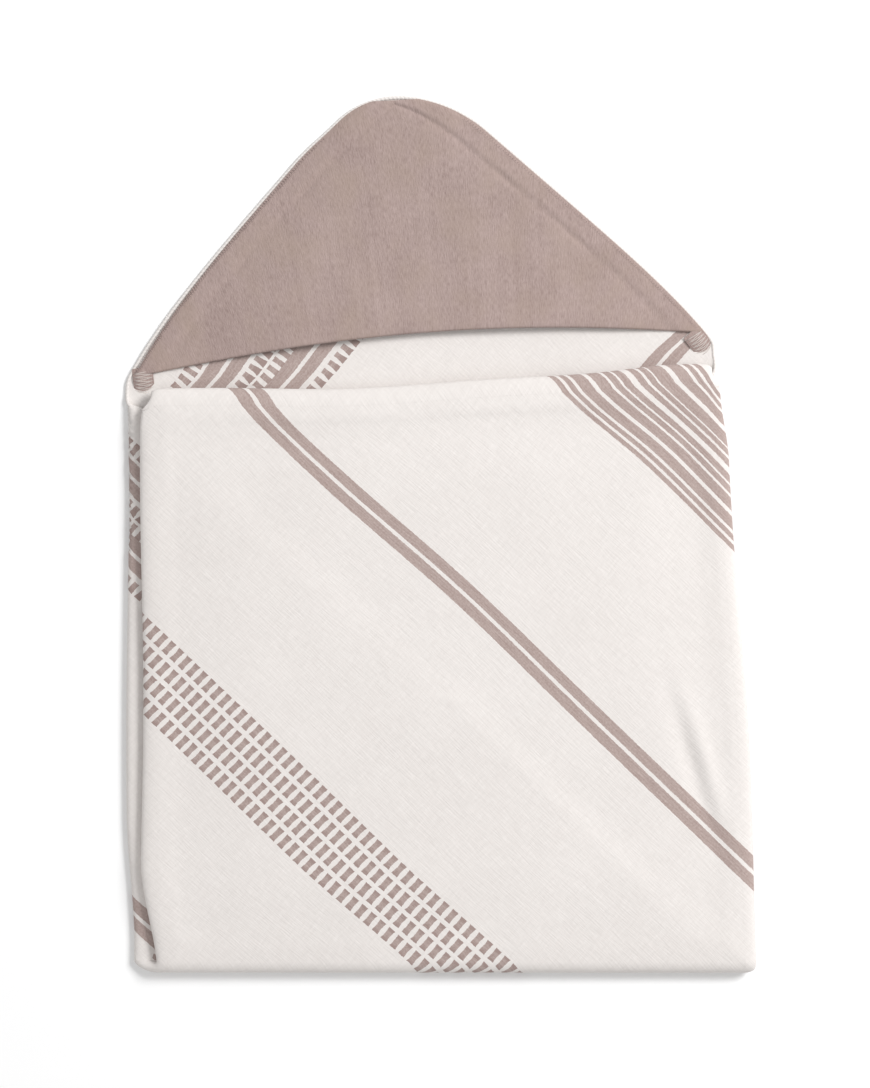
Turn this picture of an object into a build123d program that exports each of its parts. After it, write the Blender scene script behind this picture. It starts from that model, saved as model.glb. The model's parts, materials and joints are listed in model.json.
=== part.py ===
from build123d import *
from math import cos, radians, sin, sqrt, tan
import os

# A hooded baby towel folded into a flat packet, lying on its back.
# X runs across the packet, Y towards the hood's tip, and Z up from the surface that it lies on.
# The origin is the centre of the packet, on its underside. Sizes are in millimetres.

# Driving dimensions: the towel as it was cut and sewn
towel_side = 900.0  # the square towel, edge to edge
cloth = 1.8  # thickness of one layer of cloth
hood_leg = 286.0  # the hood's two short sides, along the towel's edges
corner_radius = 47.0  # the towel's rounded corners
edge_hem = 8.0  # width of the hem along the towel's edges
opening_hem = 10.0  # width of the hem along the hood's open edge
seam_width = 6.0  # width of the overlocked seam under the hood's edges
seam_end = 14.0  # length of thread-bound seam beside the opening
rim = 2.0  # towel edge left showing outside the hood
pocket_height = 7.0  # clear height inside the hood
pocket_slope = 45.0  # how far in from the seam the hood reaches its full height

# Driving dimensions: how it is folded
layer_gap = 0.4  # air between two layers that lie on each other
fold_clearance = 0.3  # between two bodies, at the creases where they turn
lean = 3.2  # degrees that the hood's middle line leans to the left
top_fold_tilt = 1.8  # degrees that the front's top fold rises to the right
opening_gap = 21.0  # back layer left showing between the hood's opening and the front's top fold
crease_drop = 8.0  # from the hood's opening down to the crease that the hood turns about
far_fold_margin = 6.0  # how far short of the other side fold a side corner stops

# Worked out from these
half_diagonal = towel_side / sqrt(2)
hood_height = hood_leg / sqrt(2)
folded_width = 2 * half_diagonal / 3  # sides folded in by thirds
folded_height = half_diagonal - hood_height - opening_gap
step = cloth + layer_gap
taper = folded_height * tan(radians(lean))  # what the right side fold leans in by, bottom to top

# Places in the plan, with heights measured up from the bottom fold
bottom_y = -folded_height / 2
left_x = -(folded_width + taper / 2) / 2
right_x = -left_x
flap_top = folded_width  # where the towel's edge meets a side fold
opening_reach = half_diagonal - hood_height
crease_reach = opening_reach - crease_drop
far_away = 2 * towel_side  # longer than anything, for cutting

# The layers of the packet, counted up from the surface
BACK, LEFT_BACK, RIGHT_BACK, TIP, RIGHT_FRONT, LEFT_FRONT, FRONT = range(7)


def low(level):
    """Height of a layer's underside."""
    return level * step


def high(level):
    """Height of a layer's upper side."""
    return level * step + cloth


packet_height = high(FRONT)
front_axis_z = packet_height / 2
tip_axis_z = (low(TIP) + high(FRONT)) / 2
hood_top = cloth + pocket_height + cloth
hood_axis_z = (packet_height + hood_top + layer_gap) / 2


def right_fold_x(height):
    """Where the leaning right side fold is at a height above the bottom fold."""
    return right_x - height * tan(radians(lean))


def top_fold_height(x):
    """Height of the front's top fold above the bottom fold."""
    return folded_height + x * tan(radians(top_fold_tilt))


def crease_height(x):
    """Height of the hood's crease above the bottom fold."""
    middle = crease_reach * cos(radians(lean))
    return middle + (x + crease_reach * sin(radians(lean))) * tan(radians(lean))


def plate(outline, level):
    """One flat layer of cloth, from its outline in the plan."""
    return Pos(0, bottom_y, low(level)) * extrude(outline, cloth)


def outline_of(*points):
    """A straight-sided outline from its corners."""
    return Polygon(*points, align=None)


def below_line(height_at, drop=0.0):
    """Everything in the plan below a sloping line."""
    left, right = -far_away, far_away
    return outline_of((left, -far_away), (right, -far_away), (right, height_at(right) - drop),
                      (left, height_at(left) - drop))


def band_beside(start, end, width):
    """A strip of the plan on the left of the line from start to end, running past both ends."""
    along = (Vector(*end) - Vector(*start)).normalized()
    across = Vector(-along.Y, along.X) * width
    first = Vector(*start) - along * width
    last = Vector(*end) + along * width
    corners = (first, last, last + across, first + across)
    return outline_of(*((corner.X, corner.Y) for corner in corners))


def packet_outline():
    """The folded rectangle, with its right side leaning, from the bottom fold upwards."""
    top = half_diagonal
    return outline_of((left_x, 0), (right_x, 0), (right_fold_x(top), top), (left_x, top))


def front_outline():
    """The lower half's outline once it is folded up: the packet's, as far as the top fold."""
    return packet_outline() & towel_outline() & below_line(top_fold_height)


def corner_outline(reach, base, radius):
    """A right-angled corner of cloth pointing up, with a rounded tip, cut off square at its base."""
    corner = outline_of((base - reach, base), (reach - base, base), (0, reach))
    tip = corner.vertices().sort_by(Axis.Y)[-1]
    return fillet(tip, radius)


def towel_outline():
    """The upper half of the square of cloth, standing on its corner and leaning as the hood does."""
    return Rot(0, 0, lean) * corner_outline(half_diagonal, -half_diagonal / 2, corner_radius)


def leaning(shape):
    """Turns a piece made about the hood's middle line to where that line is."""
    return Pos(0, bottom_y, 0) * Rot(0, 0, lean) * shape


def fold_roll(start, end, lower, upper):
    """The rounded fold that joins two layers, bulging to the right of the line from start to end."""
    outer = (high(upper) - low(lower)) / 2
    middle = (high(upper) + low(lower)) / 2
    ring = Circle(outer) - Circle(outer - cloth)
    half = ring & Rectangle(outer, 2 * outer, align=(Align.MAX, Align.CENTER))
    run = Vector(*end) - Vector(*start)
    roll = extrude(Plane.YZ * half, run.length)
    turned = Rot(0, 0, Vector(1, 0).get_signed_angle(run, Vector(0, 0, 1))) * roll
    return Pos(start[0], start[1] + bottom_y, middle) * turned


def flap_outline(side, upper_edge):
    """A side corner folded in across the packet, cut off where it meets the packet's upper edge."""
    if side == "left":
        corners = ((left_x, 0), (right_x - far_fold_margin, 0), (left_x, flap_top))
    else:
        corners = ((right_x, 0), (right_fold_x(flap_top), flap_top), (left_x + far_fold_margin, 0))
    return outline_of(*corners) & upper_edge


def flap_hem_band(side):
    """The strip along a flap's free edge that its hem takes up."""
    if side == "left":
        return band_beside((right_x - far_fold_margin, 0), (left_x, flap_top), edge_hem)
    return band_beside((right_fold_x(flap_top), flap_top), (left_x + far_fold_margin, 0), edge_hem)


def flap_and_hem(side, level, upper_edge):
    """A flap and the hem along its edge, as two solids."""
    whole = flap_outline(side, upper_edge)
    band = flap_hem_band(side)
    return plate(whole - band, level), plate(whole & band, level)


def make_back():
    """The back layer, its two flaps and their side folds: what the packet rests on."""
    edge = below_line(crease_height, fold_clearance)
    foot = outline_of((-far_away, fold_clearance), (far_away, fold_clearance),
                      (far_away, far_away), (-far_away, far_away))
    nodes = {"back_panel": plate(packet_outline() & towel_outline() & edge & foot, BACK)}
    for side, level in (("left", LEFT_BACK), ("right", RIGHT_BACK)):
        flap, hem = flap_and_hem(side, level, edge & foot)
        nodes[f"back_{side}_flap"] = flap
        nodes[f"back_{side}_flap_hem"] = hem
    left_end = min(flap_top, crease_height(left_x) - 2 * fold_clearance)
    right_end = min(flap_top, crease_height(right_fold_x(flap_top)) - 2 * fold_clearance)
    nodes["back_left_side_fold"] = fold_roll((left_x, left_end), (left_x, fold_clearance),
                                             BACK, LEFT_BACK)
    nodes["back_right_side_fold"] = fold_roll((right_fold_x(fold_clearance), fold_clearance),
                                              (right_fold_x(right_end), right_end), BACK, RIGHT_BACK)
    return nodes


def make_front():
    """The lower half of the towel, folded up over the back, with its own two flaps."""
    edge = below_line(top_fold_height)
    nodes = {"front_panel": plate(front_outline(), FRONT)}
    for side, level in (("left", LEFT_FRONT), ("right", RIGHT_FRONT)):
        flap, hem = flap_and_hem(side, level, edge)
        nodes[f"front_{side}_flap"] = flap
        nodes[f"front_{side}_flap_hem"] = hem
    left_end = min(flap_top, top_fold_height(left_x))
    right_end = min(flap_top, top_fold_height(right_fold_x(folded_height)))
    nodes["front_left_side_fold"] = fold_roll((left_x, left_end), (left_x, 0), LEFT_FRONT, FRONT)
    nodes["front_right_side_fold"] = fold_roll((right_x, 0), (right_fold_x(right_end), right_end),
                                               RIGHT_FRONT, FRONT)
    nodes["bottom_fold"] = fold_roll((left_x, 0), (right_x, 0), BACK, FRONT)
    nodes["left_flap_bottom_fold"] = fold_roll((left_x, 0), (right_x - far_fold_margin, 0),
                                               LEFT_BACK, LEFT_FRONT)
    nodes["right_flap_bottom_fold"] = fold_roll((left_x + far_fold_margin, 0), (right_x, 0),
                                                RIGHT_BACK, RIGHT_FRONT)
    return nodes


def make_tip():
    """The bottom corner, tucked in behind the front's top edge."""
    reach = half_diagonal - folded_height
    turned = Pos(0, folded_height) * Rot(0, 0, 180 + top_fold_tilt)
    whole = turned * corner_outline(reach, 0, corner_radius)
    inner = turned * corner_outline(reach - edge_hem * sqrt(2), -edge_hem, corner_radius - edge_hem)
    inside = packet_outline() & below_line(top_fold_height)
    left, right = front_outline().edges().sort_by(Axis.Y)[-1].vertices().sort_by(Axis.X)
    return {
        "tip_panel": plate(whole & inner & inside, TIP),
        "tip_hem": plate((whole - inner) & inside, TIP),
        "top_fold": fold_roll((right.X, right.Y), (left.X, left.Y), TIP, FRONT),
    }


def hood_dome(base):
    """The puffed block that the hood covers: it rises from the seam to a flat top."""
    foot_z, top_z = 2 * cloth, hood_top
    outer_reach = half_diagonal - rim * sqrt(2)
    top_reach = outer_reach - pocket_slope * sqrt(2)
    foot = Pos(0, 0, foot_z) * corner_outline(outer_reach, base, corner_radius - rim)
    top = Pos(0, 0, top_z) * corner_outline(top_reach, base, cloth)
    return loft([foot, top], ruled=True)


def hood_band(first, last):
    """A block across the hood between two distances along its middle line."""
    return Pos(0, (first + last) / 2, 0) * Box(far_away, last - first, far_away)


def make_hood():
    """The towel's top corner with the hood sewn over it as an open pocket."""
    clear_crease = crease_reach + fold_clearance
    corner = corner_outline(half_diagonal, clear_crease, corner_radius)
    seam_reach = half_diagonal - rim * sqrt(2)
    seam_outline = (corner_outline(seam_reach, opening_reach, corner_radius - rim)
                    - corner_outline(seam_reach - seam_width * sqrt(2), opening_reach - seam_width,
                                     corner_radius - rim - seam_width))
    seam = Pos(0, 0, cloth) * extrude(seam_outline, cloth)
    bound = seam & hood_band(opening_reach, opening_reach + seam_end / sqrt(2))
    ends = bound.solids().sort_by(Axis.X)
    shell = hood_dome(opening_reach) - Pos(0, 0, -cloth) * hood_dome(opening_reach - cloth)
    hem_band = hood_band(opening_reach - cloth, opening_reach + opening_hem)
    nodes = {
        "hood_corner": extrude(corner, cloth),
        "hood_seam": seam & hood_band(opening_reach + seam_end / sqrt(2), half_diagonal),
        "left_seam_end": ends[0],
        "right_seam_end": ends[-1],
        "hood_panel": shell - hem_band,
        "hood_opening_hem": shell & hem_band,
    }
    return {name: leaning(shape) for name, shape in nodes.items()}


def export_nodes():
    """Writes each piece to its own file."""
    os.makedirs("parts", exist_ok=True)
    for maker in (make_back, make_front, make_tip, make_hood):
        for name, shape in maker().items():
            solids = shape.solids()
            export_step(solids[0] if len(solids) == 1 else Compound(children=solids), f"parts/{name}.step")


export_nodes()
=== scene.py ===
# Hooded baby towel folded into a flat packet, hood up. Metres, in the part's own frame:
# X across the packet, Y towards the hood's tip, Z up from the table.
import json
import math

import bmesh
import bpy
import numpy as np
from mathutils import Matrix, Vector


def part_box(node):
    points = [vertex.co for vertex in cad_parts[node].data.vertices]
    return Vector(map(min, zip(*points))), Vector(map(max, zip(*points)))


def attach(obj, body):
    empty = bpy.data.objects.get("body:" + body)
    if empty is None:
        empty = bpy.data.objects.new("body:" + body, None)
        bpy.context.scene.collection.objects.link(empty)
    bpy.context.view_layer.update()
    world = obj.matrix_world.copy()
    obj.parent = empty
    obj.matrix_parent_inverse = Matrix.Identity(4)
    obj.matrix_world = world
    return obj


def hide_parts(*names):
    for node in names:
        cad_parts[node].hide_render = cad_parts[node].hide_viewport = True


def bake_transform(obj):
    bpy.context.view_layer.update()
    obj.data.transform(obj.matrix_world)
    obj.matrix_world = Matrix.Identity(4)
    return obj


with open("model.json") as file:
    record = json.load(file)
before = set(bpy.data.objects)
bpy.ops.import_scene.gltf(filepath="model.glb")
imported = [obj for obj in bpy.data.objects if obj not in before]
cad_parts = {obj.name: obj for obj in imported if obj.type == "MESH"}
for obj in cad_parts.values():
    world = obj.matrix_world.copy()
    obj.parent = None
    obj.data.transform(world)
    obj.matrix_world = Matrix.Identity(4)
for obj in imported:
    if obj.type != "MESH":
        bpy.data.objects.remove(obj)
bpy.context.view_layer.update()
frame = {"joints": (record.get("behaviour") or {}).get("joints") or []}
joints = {joint["name"]: joint for joint in frame["joints"]}

# the towel as it was cut and woven, in metres
towel = {
    "side": 0.900,
    "thickness": 0.0017,
    "cornerRadius": 0.047,
    "hemWidth": 0.008,
    "hemThickness": 0.0027,
    "gridStep": 0.003,
}
halfDiagonal = towel["side"] / math.sqrt(2)

# how it is folded: places come from the frame, soft shapes are set here
bottomY = joints["front_fold"]["pos_m"][1]
midHeight = joints["front_fold"]["pos_m"][2]
foldedHeight = joints["tip_fold"]["pos_m"][1] - bottomY
leanAngle = math.atan2(joints["hood_fold"]["axis"][1], joints["hood_fold"]["axis"][0])
topTilt = math.tan(math.atan2(joints["tip_fold"]["axis"][1], joints["tip_fold"]["axis"][0]))
hingeX, hingeY = joints["hood_fold"]["pos_m"][:2]
creaseReach = math.hypot(hingeX, hingeY - bottomY)
leftX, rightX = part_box("front_panel")[0].x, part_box("front_panel")[1].x
rightTopX = rightX - foldedHeight * math.tan(leanAngle)
fold = {
    "halfWidth": 0.2122,      # of the packet, before it is laid out of square
    "skin": 0.0009,           # outer surface to the middle of the outer layer
    "sideRollWide": 0.0075,   # how far in from the side a fold starts to round over
    "sideRollDeep": 0.0027,   # half the height of that rounded fold
    "sideReturn": 0.018,      # where a flap has settled flat again
    "farIn": -0.6,            # a row's last point, far past the packet's other side
    "leftFlapDepth": 0.0031,  # outer surface to the middle of each flap
    "rightFlapDepth": 0.0053,
    "bottomRollWide": 0.0080,
    "topRollWide": 0.0120,
    "topRollDeep": 0.0043,
    "topEnd": 0.2030,         # the top fold bunches up past here, into this much room
    "topEndRoom": 0.0040,
    "topEndRun": 0.006,       # and does so fully this far round the fold
    "pressedShare": 0.45,     # of the layers' spacing, left where the top fold presses them together
    "pressedRun": 0.035,      # they come together over this length below the fold
    "tipSettle": 0.030,       # the tip comes down to its own height over this length
    "openFrom": 0.398,        # where the side folds start to open out towards the hood
    "openTo": 0.420,
    "splitReach": 0.300,      # under the front: below it the back layer, above it the hood's corner
    "outerBend": 0.0022,
    "tipBendFrom": 0.0122,
    "tipBendTo": 0.0080,
    "creaseBefore": 0.002,
    "creaseAfter": 0.022,
}


# 0 below low and 1 above high, with an S curve between: t^2 (3 - 2t).
def smooth(value, low, high):
    t = np.clip((value - low) / (high - low), 0, 1)
    return t * t * (3 - 2 * t)


latticeSize = 64  # cells before the random heights repeat
latticeStart = 20  # the cell that lies at the origin


# Soft random height from -1 to 1: random values on a lattice of this cell size, joined by S curves.
def lattice(x, y, cell, seed):
    values = np.random.default_rng(seed).uniform(-1, 1, (latticeSize, latticeSize))
    gx, gy = x / cell + latticeStart, y / cell + latticeStart
    ix, iy = np.floor(gx).astype(int), np.floor(gy).astype(int)
    fx, fy = smooth(gx - ix, 0, 1), smooth(gy - iy, 0, 1)
    nextX, nextY = (ix + 1) % latticeSize, (iy + 1) % latticeSize
    ix, iy = ix % latticeSize, iy % latticeSize
    low = values[ix, iy] * (1 - fx) + values[nextX, iy] * fx
    high = values[ix, nextY] * (1 - fx) + values[nextX, nextY] * fx
    return low * (1 - fy) + high * fy


# Half a row of the folded cloth, from the packet's middle outwards: flat, a half ellipse round the side
# fold, an S curve back to the flap's depth, then flat. Returns path length, x and depth.
def acrossPath(flapDepth):
    half, wide, deep, skin = fold["halfWidth"], fold["sideRollWide"], fold["sideRollDeep"], fold["skin"]
    turn = np.linspace(0, math.pi, 61)[1:]
    back = np.linspace(0, 1, 30)[1:]
    end = half - wide
    x = np.concatenate([[0, end], end + wide * np.sin(turn), end - fold["sideReturn"] * back,
                        [fold["farIn"]]])
    settle = skin + 2 * deep + (flapDepth - skin - 2 * deep) * smooth(back, 0, 1)
    depth = np.concatenate([[skin, skin], skin + deep * (1 - np.cos(turn)), settle, [flapDepth]])
    length = np.concatenate([[0], np.cumsum(np.hypot(np.diff(x), np.diff(depth)))])
    return length, x, depth


paths = {"left": acrossPath(fold["leftFlapDepth"]), "right": acrossPath(fold["rightFlapDepth"])}
flatRun = fold["halfWidth"] - fold["sideRollWide"]
settledRun = {side: path[0][-2] for side, path in paths.items()}  # along the row to where the flap lies flat
# half way round the bottom fold
bottomRun = math.pi / 4 * (fold["bottomRollWide"] + midHeight - fold["skin"])
topRun = math.pi / 2 * (fold["topRollWide"] + fold["topRollDeep"])  # half turn round the top fold
topStart = foldedHeight - fold["topRollWide"]
clothReach = halfDiagonal + bottomRun  # from the middle of the bottom fold to a corner, along the cloth


# Where a point a along its row comes to lie across the packet, and how deep under the outer surface.
# openOut of 1 leaves the row flat.
def foldAcross(a, openOut):
    s = np.abs(a)
    x, depth = np.empty_like(s), np.empty_like(s)
    for side, mask in (("left", a < 0), ("right", a >= 0)):
        length, px, pd = paths[side]
        x[mask] = np.interp(s[mask], length, px)
        depth[mask] = np.interp(s[mask], length, pd)
    x = x + (s - x) * openOut
    depth = depth + (fold["skin"] - depth) * openOut
    return np.sign(a) * x, depth


outline = {
    "waves": 7.5,             # slow waves of the front's two sides: radians from bottom to top
    "waveLeft": 0.0012,
    "startLeft": -1.8,
    "waveRight": 0.0018,
    "startRight": -1.2,
    "rightOut": 0.0015,
    "cornerIn": 0.0125,       # the bottom left corner is drawn in, between these two heights
    "cornerFrom": -0.012,
    "cornerTo": 0.075,
    "topLeftIn": 0.0020,      # the top corners too, over these shares of the height
    "topLeftFrom": 0.93,
    "topRightIn": 0.0048,
    "topRightFrom": 0.84,
    "topRightTo": 0.97,
    "backLeftOut": 0.0030,    # the back's left side, at the bottom and how much more at the top
    "backLeftSplay": 0.0050,
    "backRightIn": 0.0015,
    "backWave": 0.0008,
    "backWaves": 8.0,
}


# The front's left and right edges at a height y above the bottom fold: straight, but for the corners,
# which are drawn in by S curves, and slow waves of a millimetre or so.
def frontOutline(y):
    share = y / foldedHeight
    corner = outline["cornerIn"] * (1 - smooth(y, outline["cornerFrom"], outline["cornerTo"]))
    left = leftX + corner + outline["waveLeft"] * np.sin(share * outline["waves"] + outline["startLeft"])
    left = left + outline["topLeftIn"] * smooth(share, outline["topLeftFrom"], 1.0)
    wave = outline["waveRight"] * np.sin(share * outline["waves"] + outline["startRight"])
    right = rightX + outline["rightOut"] + (rightTopX - rightX) * share + wave
    right = right - outline["topRightIn"] * smooth(share, outline["topRightFrom"], outline["topRightTo"])
    return left, right


# The back layer's edges: the left one a straight line that splays outwards, with a small wave, and the
# right one straight.
def backOutline(y):
    share = y / foldedHeight
    wave = outline["backWave"] * np.sin(share * outline["backWaves"])
    left = leftX - outline["backLeftOut"] - outline["backLeftSplay"] * share + wave
    right = rightX - outline["backRightIn"] + (rightTopX - rightX) * share
    return left, right


# Stretches the packet's even width to lie between a left and a right edge.
def layAcross(x, left, right):
    return left + (x + fold["halfWidth"]) / (2 * fold["halfWidth"]) * (right - left)


# The soft limit that bunched cloth keeps to: how much of a distance past is lost if it may only take up
# this room. What is left is room (1 - e^(-past / room)).
def bunched(past, room):
    return past - room * (1 - np.exp(-past / room))


hoodSides = {
    "bow": (0.0164, 0.0130),      # left and right: how far the hood's legs bow out
    "bowFullest": (0.62, 0.55),   # the shares of the hood's height where they do so most
    "bowPower": 3.2,
    "bowEnd": (0.70, 0.80),       # from here up the bow dies away, all but a tenth of it
    "bowLost": 0.9,
    "narrowest": 0.019,           # half width at the rounded tip
    "bunchFrom": (0.2075, 0.200),  # beyond this far from the middle line the hood's ends bunch up
    "bunchRoom": (0.004, 0.009),  # into this much room
    "bunchBefore": 0.006,         # less and less, from this far before the crease to this far past it
    "bunchAfter": 0.010,
    "tipShift": 0.007,            # the hood leans this much more by its tip
    "tipSkew": 0.006,             # and the rounded tip itself this much, its right side most
    "skewFrom": 0.78,
    "skewTo": 0.92,
    "skewUneven": 0.25,
    "skewWidth": 0.03,
    "shift": 0.0055,              # the packet's upper half lies this much to the right
}


# From distances p across and q along the hood's middle line to the plan. Above the crease the legs bow
# outwards by 1 - (1 - t / m)^3.2, t being the share of the hood's height and m where the bow is full, and
# the tip leans a little further left. Below the crease the widest part bunches up.
def lean(p, q):
    twoSided = ("bow", "bowFullest", "bowEnd", "bunchFrom", "bunchRoom")
    sides = {key: np.where(p < 0, *hoodSides[key]) for key in twoSided}
    t = np.clip((q - creaseReach) / (halfDiagonal - creaseReach), 0, 1)
    share = np.clip(np.abs(p) / np.clip(halfDiagonal - q, hoodSides["narrowest"], None), 0, 1)
    bow = sides["bow"] * (1 - np.clip(1 - t / sides["bowFullest"], 0, 1) ** hoodSides["bowPower"])
    bow = bow * (1 - hoodSides["bowLost"] * smooth(t, sides["bowEnd"], 1.0))
    over = bunched(np.clip(np.abs(p) - sides["bunchFrom"], 0, None), sides["bunchRoom"])
    bunchTo = creaseReach + hoodSides["bunchAfter"]
    over = over * (1 - smooth(q, creaseReach - hoodSides["bunchBefore"], bunchTo))
    uneven = hoodSides["skewUneven"]
    skew = hoodSides["tipSkew"] * smooth(t, hoodSides["skewFrom"], hoodSides["skewTo"])
    skew = skew * (1 - uneven + uneven * np.clip(p / hoodSides["skewWidth"], -1, 1))
    p = p + np.sign(p) * (share * bow - over) - hoodSides["tipShift"] * t - skew
    c, s = math.cos(leanAngle), math.sin(leanAngle)
    return p * c - q * s + hoodSides["shift"], bottomY + p * s + q * c


stray = {
    "creep": 0.0045,          # the front's cloth has crept to the right round this height, this wide and tall
    "creepHeight": 0.262,
    "creepWide": 0.11,
    "creepTall": 0.10,
    "topRise": 0.0055,        # the top fold rises near its right end
    "topRiseX": 0.165,
    "topRiseWide": 0.05,
    "topSag": 0.0045,         # and sags left of the middle
    "topSagX": -0.07,
    "topSagWide": 0.08,
    "topFrom": 0.2,           # both fade in from this height up
    "cornerDrop": 0.0034,     # the front's top corners sink, past here and above this height
    "cornerFrom": 0.198,
    "cornerAbove": 0.34,
    "swell": 0.0107,          # the back's left side swells out past the front
    "swellShare": 0.3,        # this share of it at the bottom, all of it between the next two heights
    "swellFrom": 0.11,
    "swellTo": 0.12,
    "swellEnd": 0.50,
    "swellIn": 0.02,          # and it starts this far left of the middle
}


# How the top fold strays from its straight line: two bell curves, down left of the middle and up near the
# right end.
def topWave(x):
    rise = stray["topRise"] * np.exp(-((x - stray["topRiseX"]) / stray["topRiseWide"]) ** 2)
    return rise - stray["topSag"] * np.exp(-((x - stray["topSagX"]) / stray["topSagWide"]) ** 2)


# From a point of the flat towel, a to the right and b up from the middle of the diamond, to where it lies
# once the sides are folded in, the tip folded back and the lower half folded up.
def placeCloth(a, b):
    reach = np.abs(b) - bottomRun  # height above the bottom fold, or less than 0 on it
    upper = b > 0
    past = np.where(upper, 0, np.clip(reach - topStart, 0, None))
    openOut = np.where(upper, smooth(reach, fold["openFrom"], fold["openTo"]), smooth(past, 0, topRun))
    x, depth = foldAcross(a, openOut)
    # the top fold's two ends stay inside the packet's width
    drawnIn = bunched(np.clip(np.abs(x) - fold["topEnd"], 0, None), fold["topEndRoom"])
    x = x - np.sign(x) * drawnIn * smooth(past, 0, fold["topEndRun"])
    # the bottom fold: a half ellipse whose inner layers turn tighter
    turn = np.clip(b / bottomRun, -1, 1) * math.pi / 2
    inRoll = reach < 0
    shrink = (midHeight - depth) / (midHeight - fold["skin"])
    y = np.where(inRoll, -fold["bottomRollWide"] * shrink * np.cos(turn), reach)
    # the top fold: its layers press together, roll under and run back down as the tip
    pressing = (1 - fold["pressedShare"]) * smooth(reach, topStart - fold["pressedRun"], topStart)
    depth = np.where(upper, depth, depth - (depth - fold["skin"]) * pressing)
    angle = np.clip(past / topRun, 0, 1) * math.pi
    inner = depth - fold["skin"]
    rollZ = 2 * midHeight - fold["skin"] - fold["topRollDeep"]
    rollZ = rollZ + (fold["topRollDeep"] - inner) * np.cos(angle)
    along = np.clip(past - topRun, 0, None)
    tipZ = rollZ + (midHeight - rollZ) * smooth(along, 0, fold["tipSettle"])
    y = np.where(past > 0, topStart + (fold["topRollWide"] - inner) * np.sin(angle) - along, y)
    z = np.where(upper, depth, np.where(past > 0, tipZ, 2 * midHeight - depth))
    z = np.where(inRoll, midHeight - (midHeight - depth) * np.sin(turn), z)
    # out of square: the front and the back each have their own outline, shared at the bottom fold
    frontX = layAcross(x, *frontOutline(y))
    middle = (frontX / stray["creepWide"]) ** 2 + ((y - stray["creepHeight"]) / stray["creepTall"]) ** 2
    frontX = frontX + stray["creep"] * np.exp(-middle)
    frontY = bottomY + y * (1 + topTilt * frontX / foldedHeight)
    frontY = frontY + topWave(frontX) * smooth(y, stray["topFrom"], foldedHeight)
    cornerDrop = stray["cornerDrop"] * smooth(np.abs(x), stray["cornerFrom"], fold["halfWidth"]) ** 2
    frontY = frontY - cornerDrop * smooth(y, stray["cornerAbove"], foldedHeight)
    packX = layAcross(x, *backOutline(y))
    leanX, leanY = lean(x, y)
    share = np.clip(y / fold["openTo"], 0, 1)
    backX = packX + (leanX - packX) * share
    backY = bottomY + y + (leanY - bottomY - y) * share
    swell = stray["swellShare"] + (1 - stray["swellShare"]) * smooth(y, 0, stray["swellFrom"])
    swell = swell * (1 - smooth(y, stray["swellTo"], stray["swellEnd"]))
    backX = backX - stray["swell"] * swell * smooth(-x, stray["swellIn"], fold["halfWidth"])
    backShare = (1 + np.sin(turn)) / 2
    point = np.stack([frontX + (backX - frontX) * backShare, frontY + (backY - frontY) * backShare, z], -1)
    return soften(point, np.clip(-np.sin(turn), 0, 1) * (1 - openOut), y, x)


drape = {
    "cell": 0.008,            # the simulated sheet's grid
    "bedCell": 0.005,         # the grid of the bed that it lies on, which goes this much further all round
    "bedMargin": 0.020,
    "inset": 0.002,           # its edges, from the packet's sides
    "height": 0.0012,         # where it starts, and how uneven
    "uneven": 0.0004,
    "gap": 0.004,             # that the solver keeps between the two
    "scale": 10.0,            # simulated ten times larger, where the solver is steadier
    "relief": 0.0022,         # step down where the left flap ends underneath
    "rightShare": 0.8,        # and these shares of it where the right flap and the tip do
    "tipShare": 0.6,
    "stepFrom": 0.012,        # the step's place beside a flap's free edge
    "stepTo": 0.004,
    "slack": -0.002,          # negative: the sheet has this much spare length and buckles softly
    "frames": 26,
    "lowest": -0.0016,
    "highest": 0.0011,
}


# 0 where both side flaps and the tip lie under the front, and a step lower for each that is missing: a
# flap ends at its slanting free edge, the tip at its two legs.
def layersBelow(x, y):
    edge = clothReach - (y + bottomRun)
    rightEnd = flatRun - (edge - settledRun["left"])  # how far across the left flap reaches, mirrored
    leftMissing = smooth(x, -rightEnd - drape["stepFrom"], -rightEnd - drape["stepTo"])
    rightMissing = smooth(-x, -rightEnd - drape["stepFrom"], -rightEnd - drape["stepTo"])
    tipHalf = y - (2 * topStart + bottomRun + topRun - clothReach)
    tipMissing = smooth(np.abs(x), tipHalf - drape["stepTo"], tipHalf + drape["stepTo"])
    missing = leftMissing + drape["rightShare"] * rightMissing + drape["tipShare"] * tipMissing
    return -drape["relief"] * missing


# A grid of the simulation as a mesh, scaled up.
def sheetObject(name, x, y, z):
    return meshFrom(name, np.stack([x, y, z], -1) * drape["scale"], np.stack([x, y], -1))


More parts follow.
